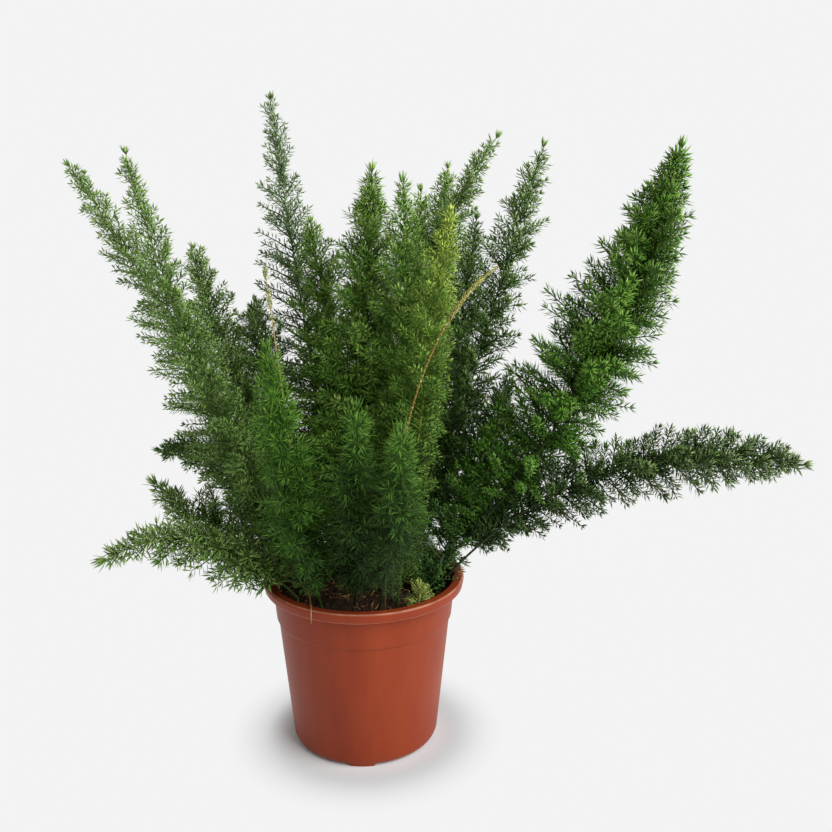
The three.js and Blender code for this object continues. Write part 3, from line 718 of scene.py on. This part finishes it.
def needles(roots, way, away, length, width, bend, tint, curved):
    """Closed slim leaves. A straight one has four vertices: the root, two flanks at 0.52 of the length and
    half a width to each side, and the tip. A curved one has a third vertex between the flanks, and all
    three are pushed away from the shoot by bend times the length, so the leaf is arched."""
    flank = unit(np.cross(way, away))
    ridge = np.cross(flank, way)
    length, width = length[:, None], width[:, None]
    arch = bend[:, None] * length if curved else 0.02 * length
    middle = roots + way * 0.52 * length + ridge * (arch + 0.15 * width)
    corners = [roots, middle - flank * width / 2, middle + flank * width / 2, roots + way * length]
    triangles = [(0, 2, 1), (3, 1, 2), (0, 1, 3), (0, 3, 2)]
    across, up_chart = [0.0, -0.012, 0.012, 0.0], [0.01, 0.33, 0.34, 0.69]
    if curved:
        corners.append(middle - ridge * 0.36 * width)
        triangles = [(0, 2, 1), (3, 1, 2), (0, 1, 4), (0, 4, 2), (3, 4, 1), (3, 2, 4)]
        across, up_chart = across + [0.0], up_chart + [0.36]
    size = len(corners)
    faces = size * np.arange(len(roots))[:, None, None] + np.array(triangles)
    u = np.clip(tint, 0.02, 0.98)[:, None] + np.array(across)
    uv = np.stack([u, np.broadcast_to(up_chart, u.shape)], axis=2)
    return np.stack(corners, axis=1).reshape(-1, 3), faces.reshape(-1, 3), uv.reshape(-1, 2)


def rod_parts(paths, radii, corners, ref, tint):
    """Rods with their places in the foliage chart: the tint across, and 0.8 to 0.96 round the rod."""
    around = 0.8 + 0.16 * np.abs(1 - 2 * np.arange(corners) / corners)
    u = np.clip(tint, 0.02, 0.98)[:, :, None] + np.zeros(corners)
    chart = np.stack([u, np.zeros_like(u) + around], axis=3).reshape(-1, 2)
    return (*rods(paths, radii, corners, ref), chart)


def stem_parts(path, radii, tint, plane):
    """A stem as one rod along its path."""
    return rod_parts(path[None], radii[None], STEM_CORNERS, plane[None], tint[None])


def whole_stem(line, buried, rings):
    """The points of a stem, in the soil and then in rings evenly over its line, and the share of each."""
    path = np.concatenate([buried, line[np.linspace(0, len(line) - 1, rings).round().astype(int)]])
    return path, np.linspace(0, 1, len(path))


def twig_parts(base, way, curl, length, radii, tint):
    """Branchlets as three-sided rods, bent by their curl, with points at the base, half way and the end."""
    s = length[:, None] * np.array([0, 0.5, 1])
    paths = bent(base[:, None], way[:, None], curl[:, None], s)
    return rod_parts(paths, radii, 3, frames(way)[0], np.repeat(tint[:, None], 3, axis=1))


def put_together(name, parts):
    """One object made of parts, each given by its vertices, triangles and chart places."""
    shifts = np.cumsum([0] + [len(p[0]) for p in parts[:-1]])
    faces = np.concatenate([p[1] + s for p, s in zip(parts, shifts)])
    vertices, uv = np.concatenate([p[0] for p in parts]), np.concatenate([p[2] for p in parts])
    return put(name, vertices * MM, [faces], uv)


def repeats(counts):
    """The index of the owner of each of the counted things, and its number among the owner's things."""
    owner = np.repeat(np.arange(len(counts)), counts)
    return owner, np.arange(len(owner)) - np.repeat(np.cumsum(counts) - counts, counts)


def whorled(base, way, curl, length, needle, per_whorl, pitch, tint, dice, width, curved=False,
            spread=58, closing=26):
    """Needles set round branchlets, which are bent by their curl. Whorls stand about a pitch apart over the
    outer 0.92 of a branchlet, each with its needles evenly round it. They stand off from it by the spread,
    in degrees, less the closing times the sixth power of the share of the branchlet's length."""
    whorls = np.maximum(1, np.round(NEEDLED_SHARE * length / pitch)).astype(int)
    branch, number = repeats(whorls)
    back = (whorls[branch] - 1 - number + 0.25 * dice.random(len(branch))) * NEEDLED_SHARE
    s = length[branch] * (1 - back / whorls[branch])
    s = np.clip(s, 0.3, length[branch])
    share = s / length[branch]
    spot = bent(base[branch], way[branch], curl[branch], s)
    axis = unit(way[branch] + 2 * curl[branch] * s[:, None])
    count = per_whorl + dice.normal(0, 0.7, len(s)) + 0.8 * (share > 0.97)
    count = np.maximum(2, np.round(count)).astype(int)
    whorl, number = repeats(count)
    side, across = frames(axis)
    turn = 2 * math.pi * (number / count[whorl] + dice.random(len(s))[whorl])
    turn = turn + dice.normal(0, 0.25, len(whorl))
    outward = side[whorl] * np.cos(turn)[:, None] + across[whorl] * np.sin(turn)[:, None]
    spread = np.broadcast_to(spread, len(length))[branch][whorl]
    open_angle = np.radians(spread - closing * share[whorl] ** 6 + dice.normal(0, 8, len(whorl)))
    along, out = np.cos(open_angle)[:, None], np.sin(open_angle)[:, None]
    direction = unit(axis[whorl] * along + outward * out)
    needle = np.broadcast_to(needle, len(length))[branch][whorl]
    size = needle * (1 - 0.22 * share[whorl] ** 3) * (0.72 + 0.4 * dice.random(len(whorl)))
    direction = unit(direction + np.array([0, 0, 0.12]))
    roots = spot[whorl] + outward * 0.2
    wide = width * (0.85 + 0.3 * dice.random(len(whorl)))
    bend = dice.normal(0.05, 0.07, len(whorl))
    shade = tint[branch][whorl] + 0.16 * (share[whorl] - 0.5) + dice.normal(0, 0.17, len(whorl))
    keep = clear_of_pot(roots + direction * size[:, None])
    kept = [part[keep] for part in (roots, direction, outward, size, wide, bend, shade)]
    return needles(*kept, curved)


def plume(name, root, middle, tip, reach, taper, bare, needle, fullness, rise, foot, habit, dice):
    """A whole plume as one mesh: stem, branchlets set round it by the golden angle, and needles. The
    branchlets lean forward by lean plus 0.45 times the square of their share of the leafy stretch, and
    reach out from the stem by reach times the swell. On the stem's upper side they are longer by 1.2 times
    rise at the foot of the leafy stretch, shorter by as much on its lower side, and even at the tip. The
    share of the branchlets that is kept, and with it their needles' length, grows from foot to 1 by 0.6 of
    the way, mostly at the cost of those on the short side and in front, so the bare stem shows there."""
    lean, uneven, pitch, width, curved, spread, low_tint, high_tint, tint_rise_power = habit
    line, buried, length, plane = route(root, middle, tip, 0.8 * needle)
    slope = np.gradient(line, axis=0)
    stem_line, share = whole_stem(line, buried, STEM_RINGS)
    stem_radii = STEM_RADIUS + (STEM_TIP_RADIUS - STEM_RADIUS) * share**0.8
    parts = [stem_parts(stem_line, stem_radii, share, plane)]

    count = int(length * (1 - bare) / BRANCHLET_PITCH * (0.5 + 0.5 * fullness))
    number = np.arange(count)
    at = (number + 0.5 + dice.normal(0, 0.3, count)) / count
    at = np.clip(at, 0, 1) ** 1.25
    where = (bare + (1 - bare) * at * (1 - 0.5 * needle / length)) * (len(line) - 1)
    base = sampled(line, where)
    axis = unit(sampled(slope, where))
    side, across = frames(axis)
    turn = 2 * math.pi * dice.random() + number * GOLDEN_ANGLE + dice.normal(0, 0.45, count)
    outward = side * np.cos(turn)[:, None] + across * np.sin(turn)[:, None]
    upper = unit(UPWARDS - axis * axis[:, 2:3])
    on_top = np.sum(outward * upper, axis=1)
    lean = lean + 0.45 * at**2 + dice.normal(0, 0.1, count)
    way = unit(outward * np.cos(lean)[:, None] + axis * np.sin(lean)[:, None])
    full = reach * swell(at, taper) / np.cos(np.minimum(lean, 1.2)) * (1 - 0.4 * at**4 - 0.3 * at**16)
    full = full * (1 - 0.55 * uneven + uneven * dice.random(count))
    full = full * (1 + 1.2 * rise * (1 - at**2) * on_top)
    full = np.maximum(full - 0.55 * needle, 0.5 * needle)
    curl = np.stack([dice.normal(0, 0.003, count), dice.normal(0, 0.003, count),
                     dice.normal(-0.002, 0.002, count)], axis=1)
    full = np.where(clear_of_pot(bent(base, way, curl, full)), full, 0.5 * full)
    worn_side = 0.5 - 2 * rise * on_top - 1.3 * outward[:, 1]
    grown = 1 - 1.6 * (1 - foot) * (1 - np.minimum(1, at / 0.6)) * np.clip(worn_side, 0, 1)
    keep = clear_of_pot(bent(base, way, curl, full)) & (dice.random(count) <= grown)
    base, way, curl, full, at, grown = (part[keep] for part in (base, way, curl, full, at, grown))
    twig_radii = (0.42 + 0.01 * full[:, None]) * np.array([1, 0.75, 0.4])
    parts.append(twig_parts(base, way, curl, full, twig_radii, 0.2 + 0.7 * at))
    # The tint rises from the plume's foot to its tip: the paler tips are young growth, and the deeper foot
    # is partly painted shade.
    tint = low_tint + (high_tint - low_tint) * at**tint_rise_power + dice.normal(0, 0.06, len(at))
    per_whorl = 4.2 + 0.7 * fullness
    size = needle * (0.3 + 0.7 * np.clip(grown, 0, 1))
    parts.append(whorled(base, way, curl, full, size, per_whorl, pitch, tint, dice, width, curved, spread))

    # Needles that stand on the stem itself, towards its tip, and the pointed star at its end.
    spots = np.arange(STEM_NEEDLES_FROM, 0.985, STEM_NEEDLE_GAP / length)
    spots = np.append(spots, np.full(STAR_WHORLS, 1.0))
    spreads = np.where(spots < 1, spread, STAR_SPREAD)
    size = np.where(spots < 1, needle, 1.2 * needle)
    where = spots * (len(line) - 1)
    axis = unit(sampled(slope, where))
    tint = low_tint + (high_tint - low_tint) * spots**tint_rise_power
    stub = np.full(len(spots), 0.6)
    parts.append(whorled(sampled(line, where), axis, 0 * axis, stub, size, per_whorl, 1.0, tint, dice,
                         width, curved, spreads))
    return put_together("foliage_" + name, parts)


for number, (name, row) in enumerate(PLUMES.items()):
    *shape, finish = row
    leafy = plume(name, *shape, HABITS[finish], np.random.default_rng(100 + number))
    leafy.data.materials.append(finishes[finish])
    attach(leafy, "root")
    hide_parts("plume_" + name)

# ---- Young shoots ---------------------------------------------------------------------------------------
# This season's shoots are still wiry and orange brown. Their needles have not opened: they lie against
# the stem as scaly buds, in a long spike on one shoot and in a few small tufts on the other.
YOUNG = {  # root, middle, tip; radius; bud clusters: from, to, number, length, spread in degrees; finish
    "shoot_centre": ((16, -48), (36, -82, 262), (83, -70, 336), 0.55, (
        (0.83, 0.95, 64, 4.0, 22), (0.55, 0.83, 22, 2.2, 9), (0.95, 1.0, 14, 2.2, 12),
    ), "budding"),
    "shoot_left": ((-34, -34), (-43, -58, 245), (-49, -80, 336), 0.5, (
        (0.972, 1.0, 9, 4.2, 20), (0.928, 0.94, 3, 3.4, 50), (0.895, 0.915, 5, 4.2, 32),
        (0.84, 0.87, 3, 3.2, 45), (0.6, 0.8, 6, 2.0, 14),
    ), "pale_bud"),
}
YOUNG_RINGS = 48


def young_shoot(name, root, middle, tip, radius, clusters, dice):
    """A thin stem along its route, with clusters of buds: a cluster's spots are spaced evenly between two
    shares of the stem, and every spot carries a ring of buds."""
    line, buried, _, plane = route(root, middle, tip, 1.0)
    slope = np.gradient(line, axis=0)
    stem_line, share = whole_stem(line, buried, YOUNG_RINGS)
    parts = [stem_parts(stem_line, radius * (1 - 0.6 * share**3), share, plane)]
    for low, high, count, bud, spread in clusters:
        where = np.linspace(low, high, count) * (len(line) - 1)
        axis = unit(sampled(slope, where))
        tint = 0.45 + dice.normal(0, 0.12, count)
        stub = np.full(count, 0.5)
        parts.append(whorled(sampled(line, where), axis, 0 * axis, stub, bud, per_whorl=4.4, pitch=1.0,
                             tint=tint, dice=dice, width=1.1, curved=True, spread=spread, closing=0))
    return put_together("young_" + name + "_stem", parts)


for number, (name, row) in enumerate(YOUNG.items()):
    *shape, finish = row
    shoot = young_shoot(name, *shape, np.random.default_rng(300 + number))
    shoot.data.materials.append(finishes[finish])
    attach(shoot, "root")
    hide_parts("young_" + name)

# ---- Seedling -------------------------------------------------------------------------------------------
# A pale seedling at the front edge of the compost, with a low tuft of fine, soft needles. It is rooted by
# a thin stem of its own, and its sprigs stand all round that stem.
SEED_ROOT = (38, -43)
SEED_MIDDLE = (39, -44, 121)
SEED_TIP = (41, -45, 130)
SEED_STEP = 20
SEED_SPRIGS = 30
seed_dice = np.random.default_rng(77)
seed_line, seed_buried, _, seed_plane = route(SEED_ROOT, SEED_MIDDLE, SEED_TIP, 1.0)
seed_path = np.concatenate([seed_buried, seed_line[::SEED_STEP]])
seed_stem = stem_parts(seed_path, np.full(len(seed_path), 0.6), np.full(len(seed_path), 0.5), seed_plane)
sprig_at = 4 + 130 * seed_dice.random(SEED_SPRIGS)
sprig_turn = np.arange(SEED_SPRIGS) * GOLDEN_ANGLE
sprig_lean = 0.25 + 0.9 * sprig_at / 140
sprig_way = np.stack([np.cos(sprig_lean) * np.cos(sprig_turn), np.cos(sprig_lean) * np.sin(sprig_turn),
                      np.sin(sprig_lean)], axis=1)
sprig_length = 10.0 * (0.7 + 0.4 * seed_dice.random(SEED_SPRIGS))
sprig_curl = np.tile([0, 0, -0.01], (SEED_SPRIGS, 1))
sprigs = (sampled(seed_line, sprig_at), sprig_way, sprig_curl, sprig_length)
seed_twigs = twig_parts(*sprigs, np.full((SEED_SPRIGS, 3), 0.28), np.full(SEED_SPRIGS, 0.6))
seed_needles = whorled(*sprigs, needle=3.4, per_whorl=3.6, pitch=1.9, tint=np.full(SEED_SPRIGS, 0.55),
                       dice=seed_dice, width=0.6)
seedling = put_together("seedling", [seed_stem, seed_twigs, seed_needles])
seedling.data.materials.append(finishes["seedling"])
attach(seedling, "root")
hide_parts("sprout")

# ---- Floor and studio -----------------------------------------------------------------------------------
# A plain pale floor under soft studio light: one large soft box at the right front, and a white room. Away
# from the pot the floor glows in the room's own tone. Close to the pot's base it blends into real light and
# shade, and round that the glow is dimmed by a painted contact shadow.
PALE = 0.896
BACKDROP = (PALE, 1.004 * PALE, 1.004 * PALE, 1)
FLOOR_HALF = 7.0
GLOW_RING = (0.046, 0.075)  # metres from the pot's axis
PAINTED_SHADOW_RING = (0.05, 0.105)
floor_corners = np.array([(-1, -1, 0), (1, -1, 0), (1, 1, 0), (-1, 1, 0)]) * FLOOR_HALF
floor = put("studio_floor", floor_corners, [np.array([[0, 1, 2, 3]])])
paper, tree, shader = finish_of("floor_paper")
place = node(tree, "ShaderNodeTexCoord").outputs["Object"]
distance = node(tree, "ShaderNodeVectorMath", place, operation="LENGTH").outputs["Value"]
fade = mapped(tree, distance, *GLOW_RING, interpolation_type="SMOOTHSTEP")
# Painted contact shadow: the glow dims to 0.3 of its strength 50 mm from the axis and is full again at 105
# mm.
painted_contact_shadow = worked_out(tree, "POWER", mapped(tree, distance, *PAINTED_SHADOW_RING, 1.0, 0.0), 2.0)
glow_under_painted_shadow = worked_out(tree, "MULTIPLY_ADD", painted_contact_shadow, -0.7, 1.0)
glow = node(tree, "ShaderNodeEmission", Color=BACKDROP, Strength=glow_under_painted_shadow)
feed(shader, {"Base Color": (0.8, 0.803, 0.803, 1), "Roughness": 0.9, "Specular IOR Level": 0.0})
mixed = node(tree, "ShaderNodeMixShader", fade, shader.outputs["BSDF"], glow.outputs["Emission"])
feed(tree.nodes["Material Output"], {"Surface": mixed.outputs["Shader"]})
floor.data.materials.append(paper)


def soft_box(name, place, aim, width, height, watts):
    """A rectangular soft light at a place, turned towards the aim."""
    lamp = bpy.data.lights.new(name, "AREA")
    lamp.shape = "RECTANGLE"
    lamp.size, lamp.size_y = width, height
    lamp.energy = watts
    made = bpy.data.objects.new(name, lamp)
    back = np.subtract(place, aim)
    yaw = math.atan2(back[0], -back[1])
    tilt = math.atan2(math.hypot(back[0], back[1]), back[2])
    made.location = place
    made.rotation_euler = (tilt, 0, yaw)
    bpy.context.scene.collection.objects.link(made)


soft_box("key_soft_box", place=(1.35, -0.85, 1.2), aim=(0, 0, 0.2), width=1.7, height=1.7, watts=50)

# The room lights from all sides, and the camera sees it in the floor's tone.
room = bpy.data.worlds.new("white_room")
bpy.context.scene.world = room
room.use_nodes = True
tree = room.node_tree
seen = node(tree, "ShaderNodeBackground", Color=BACKDROP, Strength=1.0)
fill = tree.nodes["Background"]
feed(fill, {"Color": (1, 1, 1, 1), "Strength": 0.4})
camera_ray = node(tree, "ShaderNodeLightPath").outputs["Is Camera Ray"]
both = [background.outputs["Background"] for background in (fill, seen)]
mixed = node(tree, "ShaderNodeMixShader", camera_ray, *both)
feed(tree.nodes["World Output"], {"Surface": mixed.outputs["Shader"]})
bpy.context.scene.view_settings.view_transform = "Standard"
